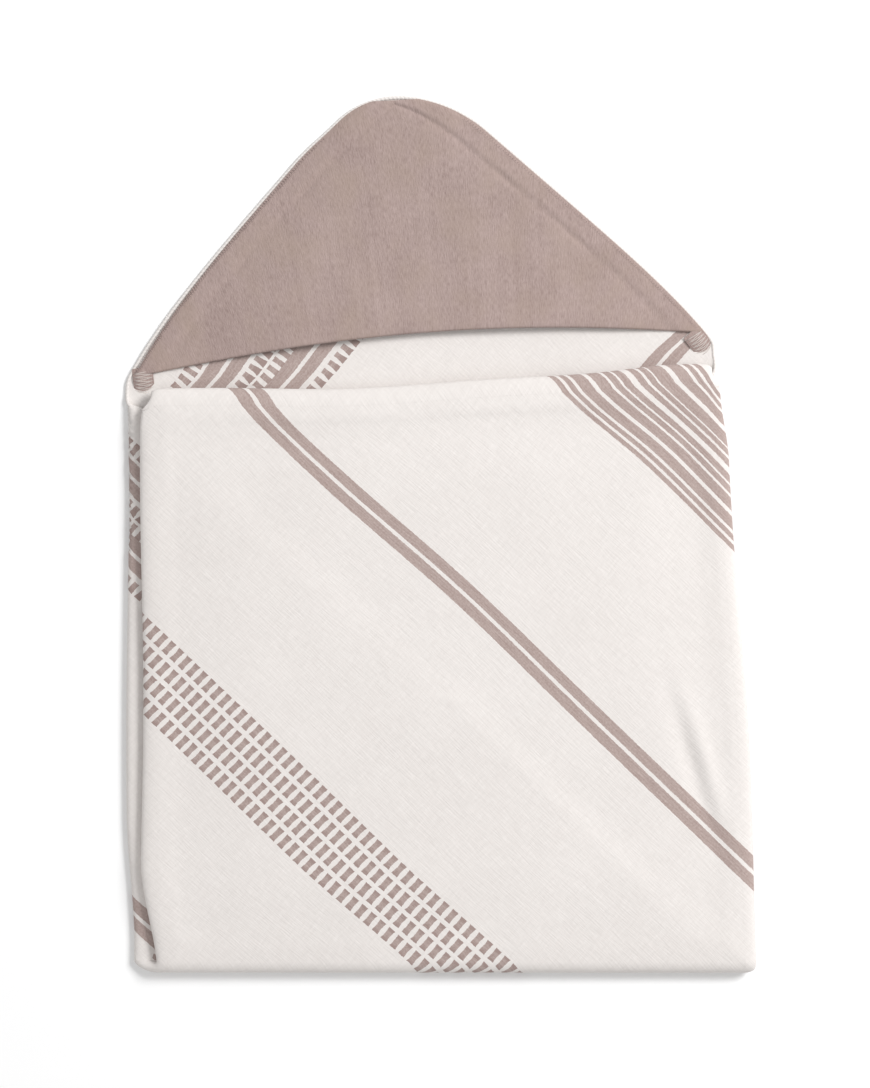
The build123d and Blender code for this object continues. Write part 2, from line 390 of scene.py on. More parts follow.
# Cloth simulation of the front lying on the layers folded under it. Returns its heights on a grid, as
# offsets from the median.
def settleFront():
    half = fold["halfWidth"] - drape["inset"]
    xs, ys = steps(-half, half, drape["cell"]), steps(0.0, topStart, drape["cell"])
    y, x = np.meshgrid(ys, xs, indexing="ij")
    more = drape["bedMargin"]
    bedXs = steps(-half - more, half + more, drape["bedCell"])
    bedY, bedX = np.meshgrid(steps(-more, topStart + more, drape["bedCell"]), bedXs, indexing="ij")
    bed = sheetObject("bed", bedX, bedY, layersBelow(bedX, bedY))
    bed.modifiers.new("collision", "COLLISION")
    bed.collision.thickness_outer = drape["gap"]
    bed.collision.cloth_friction = 8
    trial = sheetObject("trialSheet", x, y, drape["height"] + drape["uneven"] * lattice(x, y, 0.030, 17))
    border = np.zeros(x.shape, bool)
    border[0], border[-1], border[:, 0], border[:, -1] = True, True, True, True
    held = trial.vertex_groups.new(name="held")
    held.add(np.flatnonzero(border).tolist(), 1.0, "REPLACE")
    cloth = trial.modifiers.new("cloth", "CLOTH")
    cloth.settings.quality = 6
    cloth.settings.mass = 0.25
    cloth.settings.tension_stiffness = 12
    cloth.settings.compression_stiffness = 12
    cloth.settings.shear_stiffness = 6
    cloth.settings.bending_stiffness = 6
    cloth.settings.air_damping = 2
    cloth.settings.shrink_min = drape["slack"]
    cloth.settings.vertex_group_mass = "held"
    cloth.collision_settings.distance_min = drape["gap"]
    cloth.point_cache.frame_end = drape["frames"]
    scene = bpy.context.scene
    for frameNumber in range(1, drape["frames"] + 1):
        scene.frame_set(frameNumber)
    settled = trial.evaluated_get(bpy.context.evaluated_depsgraph_get()).to_mesh()
    heights = np.zeros(len(settled.vertices) * 3, np.float32)
    settled.vertices.foreach_get("co", heights)
    heights = heights.reshape(*x.shape, 3)[..., 2] / drape["scale"]
    for obj in (bed, trial):
        mesh = obj.data
        bpy.data.objects.remove(obj)
        bpy.data.meshes.remove(mesh)
    scene.frame_set(1)
    offset = heights - np.median(heights)
    print("front settled, heights from", offset.min().round(5), "to", offset.max().round(5))
    return xs, ys, np.clip(offset, drape["lowest"], drape["highest"])


# Heights of a regular grid at any points, by S curves between its values.
def readGrid(grid, x, y):
    xs, ys, values = grid
    gx = np.clip((x - xs[0]) / (xs[1] - xs[0]), 0, len(xs) - 1.001)
    gy = np.clip((y - ys[0]) / (ys[1] - ys[0]), 0, len(ys) - 1.001)
    ix, iy = gx.astype(int), gy.astype(int)
    fx, fy = smooth(gx - ix, 0, 1), smooth(gy - iy, 0, 1)
    low = values[iy, ix] * (1 - fx) + values[iy, ix + 1] * fx
    high = values[iy + 1, ix] * (1 - fx) + values[iy + 1, ix + 1] * fx
    return low * (1 - fy) + high * fy


soft = {
    "pillow": 0.0022,         # the front's middle stands this much higher, from this far in
    "pillowFrom": -0.002,
    "pillowTo": 0.075,
    "dips": 0.00022,
    "dipCell": 0.034,
    "creasePlace": (0.178, -0.066),
    "creaseTurn": 0.30,
    "creaseLength": 0.045,
    "ridge": 0.0022,          # height, place beside the crease's line, and width
    "ridgeAt": 0.004,
    "ridgeWide": 0.006,
    "dip": 0.0018,
    "dipAt": -0.006,
    "dipWide": 0.007,
}


# The give of the cloth on the front: thinner towards its edges, slow dips, and the soft crease near the
# right edge. Heights scale about the table, so nothing goes through it.
def soften(point, onFront, y, x):
    px, py, z = point[..., 0], point[..., 1], point[..., 2]
    inside = np.minimum(np.minimum(x + fold["halfWidth"], fold["halfWidth"] - x),
                        np.minimum(y + fold["bottomRollWide"], foldedHeight - y))
    pillow = soft["pillow"] * smooth(inside, soft["pillowFrom"], soft["pillowTo"])
    dips = readGrid(settledFront, x, y) + soft["dips"] * lattice(px, py, soft["dipCell"], 8)
    # crease: a low ridge with a dip beside it, running down and right
    c, s = math.cos(soft["creaseTurn"]), math.sin(soft["creaseTurn"])
    dx, dy = px - soft["creasePlace"][0], py - soft["creasePlace"][1]
    aside, along = dx * c + dy * s, -dx * s + dy * c
    crease = soft["ridge"] * np.exp(-((aside - soft["ridgeAt"]) / soft["ridgeWide"]) ** 2)
    crease = crease - soft["dip"] * np.exp(-((aside - soft["dipAt"]) / soft["dipWide"]) ** 2)
    crease = crease * np.exp(-(along / soft["creaseLength"]) ** 2)
    lift = (pillow + dips * smooth(inside, 0, 0.02) + crease) * onFront
    point = point.copy()
    point[..., 2] = z + lift * np.clip(z / (2 * midHeight), 0, 1)
    return point


# Half the towel's width at b: its reach less |b|, and round the rounded corners.
def freeEdge(b):
    radius = towel["cornerRadius"]
    centre = clothReach - radius * math.sqrt(2)
    reach = np.abs(b)
    endCorner = np.sqrt(np.clip(radius ** 2 - (reach - centre) ** 2, 0, None))
    sideCorner = centre + np.sqrt(np.clip(radius ** 2 - reach ** 2, 0, None))
    width = np.where(reach > centre + radius / math.sqrt(2), endCorner, clothReach - reach)
    return np.where(reach < radius / math.sqrt(2), sideCorner, width)


cornerReach = clothReach - towel["cornerRadius"] * (math.sqrt(2) - 1)  # the rounded corner's own tip


# A mesh from a grid of points, rows by columns, with a UV map; closed joins the last column to the first.
def meshFrom(name, points, uv, closed=False):
    rows, cols = points.shape[:2]
    index = np.arange(rows * cols).reshape(rows, cols)
    nxt = np.roll(index, -1, 1) if closed else index[:, 1:]
    cur = index if closed else index[:, :-1]
    quads = np.stack([cur[:-1], nxt[:-1], nxt[1:], cur[1:]], -1).reshape(-1, 4)
    mesh = bpy.data.meshes.new(name)
    mesh.vertices.add(rows * cols)
    mesh.vertices.foreach_set("co", points.reshape(-1).astype(np.float32))
    mesh.loops.add(quads.size)
    mesh.loops.foreach_set("vertex_index", quads.reshape(-1).astype(np.int32))
    mesh.polygons.add(len(quads))
    mesh.polygons.foreach_set("loop_start", np.arange(0, quads.size, 4, dtype=np.int32))
    mesh.polygons.foreach_set("loop_total", np.full(len(quads), 4, np.int32))
    mesh.polygons.foreach_set("use_smooth", np.ones(len(quads), bool))
    layer = mesh.uv_layers.new(name="cloth")
    layer.data.foreach_set("uv", uv.reshape(-1, 2)[quads.reshape(-1)].reshape(-1).astype(np.float32))
    mesh.update()
    obj = bpy.data.objects.new(name, mesh)
    bpy.context.scene.collection.objects.link(obj)
    return obj


# The cloth's own coordinates in metres: along the stripes, and across them from the edge that lies at the
# upper left.
def weaveUv(a, b):
    return np.stack([a + b + clothReach, a - b + clothReach], -1) / math.sqrt(2)


# Cloth thickness to both sides, with the cut edges shaded apart from the faces.
def giveThickness(obj, thickness):
    solid = obj.modifiers.new("thickness", "SOLIDIFY")
    solid.thickness = thickness
    solid.offset = 0.0
    split = obj.modifiers.new("cutEdges", "EDGE_SPLIT")
    split.split_angle = math.radians(50)
    return obj


# A piece of the towel's cloth from its flat points a and b: placed, and given its thickness.
def clothPiece(name, a, b, thickness=towel["thickness"]):
    return giveThickness(meshFrom(name, placeCloth(a, b), weaveUv(a, b)), thickness)


# Evenly spaced values, about one step apart.
def steps(low, high, step=towel["gridStep"]):
    return np.linspace(low, high, max(2, int(round(abs(high - low) / step)) + 1))


# Runs of values end to end, without the doubled value where two meet.
def joined(*runs):
    return np.concatenate([runs[0]] + [run[1:] for run in runs[1:]])


frontRow = -(bottomRun + topStart)  # where the top fold starts to round over
splitRow = bottomRun + fold["splitReach"]
rowStep = {"bottomRoll": 0.0010, "topRoll": 0.0009, "flapRoll": 0.0015, "flap": 0.004, "hidden": 0.005,
           "hood": 0.0025}
edgeRows = 0.006  # beside the top fold the front's rows are as close as on the bottom fold
cornerRows = cornerReach - 0.020 * np.linspace(1, 0.02, 16) ** 2  # closer and closer towards a corner
packetRows = joined(steps(frontRow, frontRow + edgeRows, rowStep["bottomRoll"]),
                    steps(frontRow + edgeRows, -bottomRun),
                    steps(-bottomRun, bottomRun, rowStep["bottomRoll"]),
                    steps(bottomRun, splitRow))
hoodRows = joined(steps(splitRow, bottomRun + fold["openFrom"], rowStep["hidden"]),
                  steps(bottomRun + fold["openFrom"], cornerRows[0], rowStep["hood"]), cornerRows)
tipRows = joined(steps(frontRow, frontRow - topRun, rowStep["topRoll"]),
                 steps(frontRow - topRun, -cornerRows[0]), -cornerRows)
columns = {"outer": 137, "sideFold": 34, "flap": 90, "hem": 7, "tip": 150, "hood": 170}


# A piece over these rows, each running from start to end with this many points.
def gridPiece(name, rows, start, end, count, thickness=towel["thickness"]):
    a = start[:, None] + (end - start)[:, None] * np.linspace(0, 1, count)
    b = np.repeat(rows[:, None], count, 1)
    return clothPiece(name, a, b, thickness)


# Bakes the piece's placement into its mesh.
def bendAtBottom(obj):
    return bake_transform(obj)


# Bakes the piece's placement into its mesh.
def bendAtCrease(obj):
    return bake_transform(obj)


settledFront = settleFront()

# the packet: the outer cloth, then each side's fold, flap and hem
outerCloth = gridPiece("outerCloth", packetRows, np.full_like(packetRows, -flatRun),
                       np.full_like(packetRows, flatRun), columns["outer"])
bendAtBottom(outerCloth)
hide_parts("back_panel", "bottom_fold", "front_panel")
sideLayers = {
    "left": {"sign": -1, "flapBend": 0.0042, "sideBend": 0.0068},
    "right": {"sign": 1, "flapBend": 0.0062, "sideBend": 0.0068},
}
flapShort = 0.002  # a flap's last row stops this far short of the hem's own corner
foldPieces, flapPieces, hemPieces = [], [], []
for side, layer in sideLayers.items():
    edge = freeEdge(packetRows)
    settled = np.minimum(settledRun[side], edge)
    sideFold = gridPiece(side + "SideFold", packetRows, layer["sign"] * np.full_like(edge, flatRun),
                         layer["sign"] * settled, columns["sideFold"])
    bendAtBottom(sideFold)
    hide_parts(f"back_{side}_side_fold", f"front_{side}_side_fold")
    flapEnd = clothReach - settledRun[side] - towel["hemWidth"] - flapShort
    flapRows = joined(steps(-flapEnd, -bottomRun, rowStep["flap"]),
                      steps(-bottomRun, bottomRun, rowStep["flapRoll"]),
                      steps(bottomRun, splitRow, rowStep["flap"]))
    edge = freeEdge(flapRows)
    inner = np.full_like(edge, settledRun[side])
    flap = gridPiece(side + "Flap", flapRows, layer["sign"] * inner,
                     layer["sign"] * (edge - towel["hemWidth"]), columns["flap"])
    bendAtBottom(flap)
    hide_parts(f"back_{side}_flap", f"{side}_flap_bottom_fold", f"front_{side}_flap")
    flapHem = gridPiece(side + "FlapHem", flapRows, layer["sign"] * (edge - towel["hemWidth"]),
                        layer["sign"] * edge, columns["hem"], towel["hemThickness"])
    bendAtBottom(flapHem)
    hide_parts(f"back_{side}_flap_hem", f"front_{side}_flap_hem")
    foldPieces.append(sideFold)
    flapPieces.append(flap)
    hemPieces.append(flapHem)
print("packet made")

# the tip, from the top fold round and back down inside the packet
hemStart, hemFull = topRun - frontRow, topRun - frontRow + 0.03  # the cloth makes room for its hems between
hemShare = 0.98  # of the hem's width: the rest laps under it
edge = freeEdge(tipRows)
inset = towel["hemWidth"] * smooth(np.abs(tipRows), hemStart, hemFull)
tipEdge = edge - inset * hemShare
tipCloth = gridPiece("tipCloth", tipRows, -tipEdge, tipEdge, columns["tip"])
hemRows = tipRows[np.abs(tipRows) > hemFull]
hemEdge = freeEdge(hemRows)
tipHems = [gridPiece(name, hemRows, sign * (hemEdge - towel["hemWidth"]).clip(0), sign * hemEdge,
                     columns["hem"], towel["hemThickness"])
           for name, sign in (("tipLeftHem", -1), ("tipRightHem", 1))]
for obj in (tipCloth, *tipHems):
    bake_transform(obj)
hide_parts("top_fold", "tip_panel")
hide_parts("tip_hem")
hemPieces += tipHems
print("tip made")

# the hood's corner of the towel
edge = freeEdge(hoodRows)
hoodCorner = gridPiece("hoodCorner", hoodRows, -edge, edge, columns["hood"])
bendAtCrease(hoodCorner)
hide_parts("hood_corner")

hood = {
    "opening": 0.008,         # how far the opening lies past the crease at its ends
    "openingMiddle": 0.0152,  # and how much further its middle does
    "openingBow": 0.37,       # per metre: the opening bows up in its middle
    "openingSlope": 0.022,
    "openingHalf": 0.203,     # half its length
    "topShort": 0.0022,       # the panel stops this far short of the corner's tip
    "narrowest": 0.0015,
    "rimLeft": 0.0030,        # of the towel's corner left showing beside the panel, measured level
    "rimRight": 0.0008,
    "rimLost": 0.75,          # this share of the left one is gone at the tip
    "puff": 0.0060,           # the dome's height, and its powers across and up the panel
    "puffAcross": 2.6,
    "puffSide": 1.2,
    "puffUp": 0.55,
    "puffMouth": 0.25,        # how much of it belongs to the opening, and how far up that reaches
    "mouthReach": 0.25,
    "ripple": 0.0007,
    "fineRipple": 0.0004,
    "seat": 0.0027,           # height of the panel's middle surface where it is sewn down
    "hemDepth": 0.010,
    "hemDrop": 0.0019,
    "thickness": 0.0015,
    "beadRadius": 0.0013,     # the towel's rolled edge
    "allowance": 0.014,       # the seam's folded edge inside, felt as a ridge beside each leg
    "ridge": 0.0007,
    "ridgeSoft": 0.0025,
    "groove": 0.0005,
    "grooveWide": 0.0022,
}
openingReach = creaseReach + hood["opening"]


# The opening's place along the middle line, p across it: a shallow arc on a slight slope.
def hoodEdge(p):
    return openingReach + hood["openingMiddle"] - hood["openingBow"] * p ** 2 + hood["openingSlope"] * p


# Rows run from the folded-under hem, round the opening's edge by half a circle and up to the rounded tip;
# columns from leg to leg. Height is a low dome over the towel's corner: (1 - s^2.6)^1.2 (1 - t)^0.55, s
# being the share of the way out to a leg and t of the way up, a third higher at the opening than above it.
def makeHoodPanel():
    topReach = cornerReach - bottomRun - hood["topShort"]
    share = np.linspace(-1, 1, 121)
    under = np.linspace(1, 0, 8)[:-1]
    turn = np.linspace(0, 1, 7)[:-1] * math.pi
    up = 1 - (1 - np.linspace(0, 1, 100)) ** 1.35  # rows closer together towards the tip
    n, m = len(under), len(under) + len(turn)
    rows = m + len(up)
    opening = hoodEdge(share * hood["openingHalf"])
    drop = np.zeros(rows)
    q = np.zeros((rows, len(share)))
    q[:n] = opening + hood["hemDepth"] * under[:, None]
    drop[:n] = hood["hemDrop"]
    q[n:m] = opening - hood["hemDrop"] / 2 * np.sin(turn)[:, None]
    drop[n:m] = hood["hemDrop"] / 2 * (1 + np.cos(turn))
    q[m:] = opening + (topReach - opening) * up[:, None] * 0.9999
    level = np.clip((q - opening) / (topReach - opening), 0, 1)
    width = freeEdge(q + bottomRun)
    rim = np.where(share < 0, hood["rimLeft"] * (1 - hood["rimLost"] * level), hood["rimRight"])
    p = share * np.clip(width - rim, hood["narrowest"], None)
    dome = (1 - np.abs(share) ** hood["puffAcross"]) ** hood["puffSide"] * (1 - level) ** hood["puffUp"]
    mouth = hood["puffMouth"]
    dome = dome * (1 - mouth + mouth * np.exp(-(level / hood["mouthReach"]) ** 2))
    x, y = lean(p, q)
    ripple = hood["ripple"] * lattice(p, q, 0.045, 21) + hood["fineRipple"] * lattice(p, q, 0.021, 5)
    inside = (width - np.abs(p)) / math.sqrt(2)  # square to the leg
    ridge = hood["ridge"] * smooth(inside, hood["allowance"] + hood["ridgeSoft"],
                                   hood["allowance"] - hood["ridgeSoft"])
    groove = hood["groove"] * np.exp(-((inside - hood["allowance"] - 0.001) / hood["grooveWide"]) ** 2)
    rise = dome * hood["puff"] + ripple * smooth(1 - np.abs(share), 0, 0.25)
    rise = rise + (ridge - groove * (1 + lattice(p, q, 0.012, 31))) * smooth(inside, 0, 0.004)
    room = np.clip(0.35 + rise / 0.004, 0, 1)  # the hem lies flatter where the dome is low
    z = hood["seat"] + rise - drop[:, None] * room
    return meshFrom("hoodPanel", np.stack([x, y, z], -1), np.stack([p, q], -1))


hoodPanel = makeHoodPanel()
giveThickness(hoodPanel, hood["thickness"])
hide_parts("hood_panel", "hood_opening_hem")
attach(hoodPanel, "hood")


# The towel's edge round the hood's corner, in cloth coordinates: up the left leg, round the corner's arc
# and down the right leg.
def edgeLine(startRow, count):
    radius = towel["cornerRadius"]
    centre = clothReach - radius * math.sqrt(2)
    arcRow = centre + radius / math.sqrt(2)
    legRows = np.linspace(startRow, arcRow, count)
    arc = np.linspace(math.pi * 0.75, math.pi * 0.25, max(8, count // 4))[1:-1]
    a = np.concatenate([legRows - clothReach, radius * np.cos(arc), clothReach - legRows[::-1]])
    b = np.concatenate([legRows, centre + radius * np.sin(arc), legRows[::-1]])
    return a, b


# A round tube carried along a path: each ring lies square to the path's direction. Both ends are capped.
def tubeAlong(name, path, radius, sides):
    ahead = np.gradient(path, axis=0)
    ahead /= np.linalg.norm(ahead, axis=1)[:, None] + 1e-12
    aside = np.cross(ahead, (0, 0, 1.0))
    aside /= np.linalg.norm(aside, axis=1)[:, None] + 1e-12
    above = np.cross(aside, ahead)
    turn = np.linspace(0, 2 * math.pi, sides, endpoint=False)
    radius = np.broadcast_to(np.asarray(radius, float), (len(path),))
    ring = np.cos(turn)[None, :, None] * aside[:, None] + np.sin(turn)[None, :, None] * above[:, None]
    points = path[:, None] + ring * radius[:, None, None]
    length = np.concatenate([[0], np.cumsum(np.linalg.norm(np.diff(path, axis=0), axis=1))])
    uv = np.stack(np.broadcast_arrays(length[:, None], turn[None] * 0.001), -1)
    obj = meshFrom(name, points, uv, closed=True)
    shape = bmesh.new()
    shape.from_mesh(obj.data)
    shape.verts.ensure_lookup_table()
    count = len(shape.verts)
    shape.faces.new([shape.verts[i] for i in range(sides)])
    shape.faces.new([shape.verts[i] for i in range(count - 1, count - sides - 1, -1)])
    bmesh.ops.recalc_face_normals(shape, faces=shape.faces)
    shape.to_mesh(obj.data)
    shape.free()
    return obj


a, b = edgeLine(splitRow, 190)
edgePath = placeCloth(a, b)
edgePath[:, 2] = np.maximum(edgePath[:, 2], hood["beadRadius"] * 1.02)  # off the table
wander = 1 + 0.10 * lattice(a, b, 0.016, 41)
hoodEdgeBead = tubeAlong("hoodEdgeBead", edgePath, hood["beadRadius"] * wander, 10)
bendAtCrease(hoodEdgeBead)

seam = {
    "pitch": 0.0021,          # of the overlock's zigzag
    "halfWidth": 0.0014,
    "inset": 0.0030,          # its middle, from the towel's edge, and how high it lies on the panel
    "rise": 0.0031,
    "strokeRise": 0.0002,     # the middle of a stroke above its two ends
    "uneven": 0.00012,
    "threadRadius": 0.00028,
    "threadSides": 6,
    "tabLength": 0.0165,      # seam allowance left below the opening at each end, closely bound
    "tabWidth": 0.0145,
    "tabInset": 0.0004,
    "tabThickness": 0.0009,
    "tabPitch": 0.0013,
    "tabRise": 0.0006,
    "tabArch": 0.0009,
    "tabTop": 0.0012,         # its top end lies this much higher, and its bottom end this much below that
    "tabFall": 0.0022,
    "tabThreadRise": 0.0006,
    "tabFree": 0.04,          # share of its width left free of thread at each side
    "tabRound": 0.18,         # how much shorter the tab is at its two sides
    "tabSlant": {-1: math.radians(6), 1: math.radians(38)},
}


# Cloth coordinates of a point beside a leg's edge, down from where the opening meets the leg and inset
# from the edge, both measured along the cloth.
def alongLeg(sign, down, inset):
    b0 = bottomRun + hoodEdge(sign * hood["openingHalf"])
    b = b0 - (down + inset) / math.sqrt(2)
    a = clothReach - b0 + (down - inset) / math.sqrt(2)
    return sign * a, b


# A thread going to and fro across a seam: along it at a steady pitch, across it by a triangle wave, and a
# little higher in the middle of each stroke.
def zigzag(sign, downFrom, downTo):
    count = int(abs(downTo - downFrom) / seam["pitch"]) * 4
    phase = np.arange(count) % 4
    across = np.array([-1.0, 0.0, 1.0, 0.0])[phase] * seam["halfWidth"]
    down = np.linspace(downFrom, downTo, count)
    point = placeCloth(*alongLeg(sign, down, seam["inset"] + across))
    uneven = seam["uneven"] * lattice(down, across, 0.004, 61)
    point[:, 2] += seam["rise"] + seam["strokeRise"] * (phase % 2) + uneven
    return point


# The end of the seam allowance, hanging from where the opening meets the leg: down along the slant of the
# tab and inset across it, a low arch across its width that sinks towards its rounded end.
def tabPlace(sign, down, inset):
    start = placeCloth(*alongLeg(sign, np.array([-0.002]), np.array([0.0])))[0]
    slant = seam["tabSlant"][sign]
    c, s = math.cos(slant), math.sin(slant)
    downWay, across = np.array([s, -c]), np.array([c, s])
    share = np.clip(inset / (seam["tabInset"] + seam["tabWidth"]), 0, 1)
    shorter = seam["tabRound"] * (2 * share - 1) ** 2
    plan = start[:2] + (down * (1 - shorter))[..., None] * downWay - (sign * inset)[..., None] * across
    arch = seam["tabArch"] * np.sin(share * math.pi) + 0.0004 * lattice(down, inset, 0.006, 71)
    fall = seam["tabTop"] - seam["tabFall"] * smooth(down, 0.004, seam["tabLength"])
    z = start[2] + seam["tabRise"] + arch + fall
    return np.concatenate([plan, z[..., None]], -1)


# The overlock's thread to and fro over the tab, by a triangle wave across it.
def tabZigzag(sign):
    count = int(seam["tabLength"] / seam["tabPitch"]) * 4
    wave = np.abs((np.arange(count) / 4) % 2 - 1)
    down = np.linspace(0, seam["tabLength"] - 0.001, count)
    across = seam["tabFree"] + (1 - 2 * seam["tabFree"]) * wave
    point = tabPlace(sign, down, seam["tabInset"] + seam["tabWidth"] * across)
    point[:, 2] += seam["tabThreadRise"]
    return point


legReach = clothReach - bottomRun - hoodEdge(hood["openingHalf"])
legLength = (math.sqrt(2) * legReach - towel["cornerRadius"]) * 0.99  # just short of the rounded corner
seamPieces, tabPieces = [], []
for side, sign in (("left", -1), ("right", 1)):
    legThread = zigzag(sign, -0.004, -legLength)
    legSeam = tubeAlong(side + "LegSeam", legThread, seam["threadRadius"], seam["threadSides"])
    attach(legSeam, "hood")
    down, inset = np.meshgrid(np.linspace(-0.003, seam["tabLength"], 16),
                              seam["tabInset"] + seam["tabWidth"] * np.linspace(0, 1, 12), indexing="ij")
    tab = meshFrom(side + "SeamTab", tabPlace(sign, down, inset), np.stack([inset, down], -1))
    giveThickness(tab, seam["tabThickness"])
    bendAtCrease(tab)
    endSeam = tubeAlong(side + "SeamEnd", tabZigzag(sign), seam["threadRadius"], seam["threadSides"])
    bendAtCrease(endSeam)
    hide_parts(side + "_seam_end")
    seamPieces += [legSeam, endSeam]
    tabPieces.append(tab)
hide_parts("hood_seam")
print("hood made")


# A material's nodes, with one short call for each kind used here.
class Tree:
    def __init__(self, name):
        self.material = bpy.data.materials.new(name)
        self.material.use_nodes = True
        self.nodes, self.links = self.material.node_tree.nodes, self.material.node_tree.links
        self.shader = self.nodes["Principled BSDF"]

    # Link a socket, or set a plain value.
    def feed(self, socket, value):
        if isinstance(value, bpy.types.NodeSocket):
            self.links.new(value, socket)
        else:
            socket.default_value = value

    # One Math node.
    def maths(self, operation, *values):
        node = self.nodes.new("ShaderNodeMath")
        node.operation = operation
        for socket, value in zip(node.inputs, values):
            self.feed(socket, value)
        return node.outputs[0]

    def plus(self, first, second):
        return self.maths("ADD", first, second)

    def minus(self, first, second):
        return self.maths("SUBTRACT", first, second)

    def times(self, first, second):
        return self.maths("MULTIPLY", first, second)

    # (value - middle) gain + offset, kept within 0 and 1.
    def contrast(self, value, middle, gain, offset):
        result = self.maths("MULTIPLY_ADD", self.minus(value, middle), gain, offset)
        result.node.use_clamp = True
        return result

    # The piece's own cloth coordinates, in metres.
    def coordinates(self, uvName):
        node = self.nodes.new("ShaderNodeUVMap")
        node.uv_map = uvName
        split = self.nodes.new("ShaderNodeSeparateXYZ")
        self.links.new(node.outputs[0], split.inputs[0])
        return split.outputs[0], split.outputs[1]

    # Two values as a vector.
    def point(self, x, y):
        node = self.nodes.new("ShaderNodeCombineXYZ")
        self.feed(node.inputs[0], x)
        self.feed(node.inputs[1], y)
        return node.outputs[0]

    # Noise from 0 to 1, stretched: features are 1 / scale metres long each way.
    def noise(self, x, y, xScale, yScale, detail=2.0):
        node = self.nodes.new("ShaderNodeTexNoise")
        node.inputs["Scale"].default_value = 1.0
        node.inputs["Detail"].default_value = detail
        node.inputs["Roughness"].default_value = 0.6
        place = self.point(self.times(x, xScale), self.times(y, yScale))
        self.links.new(place, node.inputs["Vector"])
        return node.outputs[0]

    # 1 between each pair of edges and 0 elsewhere, as a stepped ramp over just their own range, because a
    # ramp has only 256 steps.
    def bands(self, value, edges):
        spare = 0.002  # at each end of the ramp
        first, span = edges[0][0] - spare, edges[-1][1] - edges[0][0] + 2 * spare
        value = self.maths("DIVIDE", self.minus(value, first), span)
        node = self.nodes.new("ShaderNodeValToRGB")
        ramp = node.color_ramp
        ramp.interpolation = "CONSTANT"
        ramp.elements.remove(ramp.elements[1])
        ramp.elements[0].position = 0
        ramp.elements[0].color = (0, 0, 0, 1)
        for low, high in edges:
            ramp.elements.new((low - first) / span).color = (1, 1, 1, 1)
            ramp.elements.new((high - first) / span).color = (0, 0, 0, 1)
        self.links.new(value, node.inputs[0])
        return node.outputs[0]

    # The first colour at a share of 0 and the second at 1.
    def mix(self, share, first, second):
        node = self.nodes.new("ShaderNodeMix")
        node.data_type = "RGBA"
        self.feed(node.inputs[0], share)
        self.feed(node.inputs[6], first)
        self.feed(node.inputs[7], second)
        return node.outputs[2]

    # Fine relief from a height between 0 and 1.
    def bump(self, height, strength, distance):
        node = self.nodes.new("ShaderNodeBump")
        node.inputs["Strength"].default_value = strength
        node.inputs["Distance"].default_value = distance
        self.links.new(height, node.inputs["Height"])
        self.links.new(node.outputs[0], self.shader.inputs["Normal"])

    # The shader's colour, a socket or a plain value, and its plain numbers.
    def finish(self, colour, roughness, specular, sheen=0.0):
        self.feed(self.shader.inputs["Base Color"], colour)
        self.shader.inputs["Roughness"].default_value = roughness
        self.shader.inputs["Specular IOR Level"].default_value = specular
        self.shader.inputs["Sheen Weight"].default_value = sheen
        self.shader.inputs["Sheen Roughness"].default_value = 0.5
        return self.material


# Pairs of edges from a run of widths in millimetres, stripe and gap by turns, starting at start.
def bandsFrom(start, widths):
    marks = start + np.concatenate([[0], np.cumsum(widths)]) / 1000
    return [(float(marks[i]), float(marks[i + 1])) for i in range(0, len(marks) - 1, 2)]


stripes = {  # places across the cloth, in metres from the edge at the upper left
    "borderA": bandsFrom(0.0365, [8.0, 2.6, 8.0, 20.5, 8.0, 2.8, 8.0]),
    "borderADashes": bandsFrom(0.0250, [9.0, 24.0, 8.0, 2.2, 7.5, 22.5, 8.0]),
    "pairA": bandsFrom(0.2655, [7.7, 2.6, 7.7]),
    "pairB": bandsFrom(0.6511, [7.7, 2.6, 7.4]),
    "borderB": bandsFrom(0.8180, [3.2, 2.1, 3.2, 2.1, 6.7, 2.5, 6.7, 1.4, 3.9, 1.4, 4.2, 3.5,
                                  3.9, 1.8, 3.5, 1.1, 7.4, 3.2, 6.7, 2.1, 3.2, 2.1, 3.2]),
    "rowStart": 0.4419,
    "rowPitch": 0.0139,
    "rowLength": 0.0105,
    "rows": 4,
    "dashPitch": 0.00783,
    "dashWidth": 0.0042,
    "dashFlare": 0.0009,      # wider at a dash's two ends
}
tones = {
    "cream": (0.780, 0.740, 0.714, 1),
    "creamShade": (0.700, 0.660, 0.634, 1),
    "stripe": (0.338, 0.254, 0.233, 1),
    "stripePale": (0.480, 0.392, 0.364, 1),
    "hood": (0.312, 0.232, 0.213, 1),
    "hoodPale": (0.430, 0.332, 0.308, 1),
    "hoodDark": (0.250, 0.184, 0.168, 1),
    "hoodWarm": (0.372, 0.285, 0.235, 1),
    "thread": (0.70, 0.64, 0.60, 1),
    "threadShade": (0.52, 0.45, 0.42, 1),
    "floor": (0.95, 0.95, 0.95, 1),
}
weave = {  # pairs are features per metre along the stripes and across them
    "wobble": (420, 420),     # how finely the stripes' edges stray, and how far
    "wobbleFar": 0.0010,
    "streak": (70, 900),      # paler and darker threads in the stripes
    "fleck": (700, 700),
    "paleGain": 2.6,
    "endsDarker": 0.9,
    "slubAcross": (560, 80),  # thicker threads of the cream
    "slubAlong": (70, 620),
    "slubShare": 1.5,
    "cloud": (12, 12),
    "cloudShare": 0.5,
    "cloudMiddle": 0.62,
    "cloudGain": 1.5,
    "threadsAlong": (90, 1000),
    "threadsAcross": (700, 120),
    "crinkle": (45, 210),     # left by washing
    "crinkleShare": 1.2,
    "relief": 0.34,
    "reliefDepth": 0.0006,
}


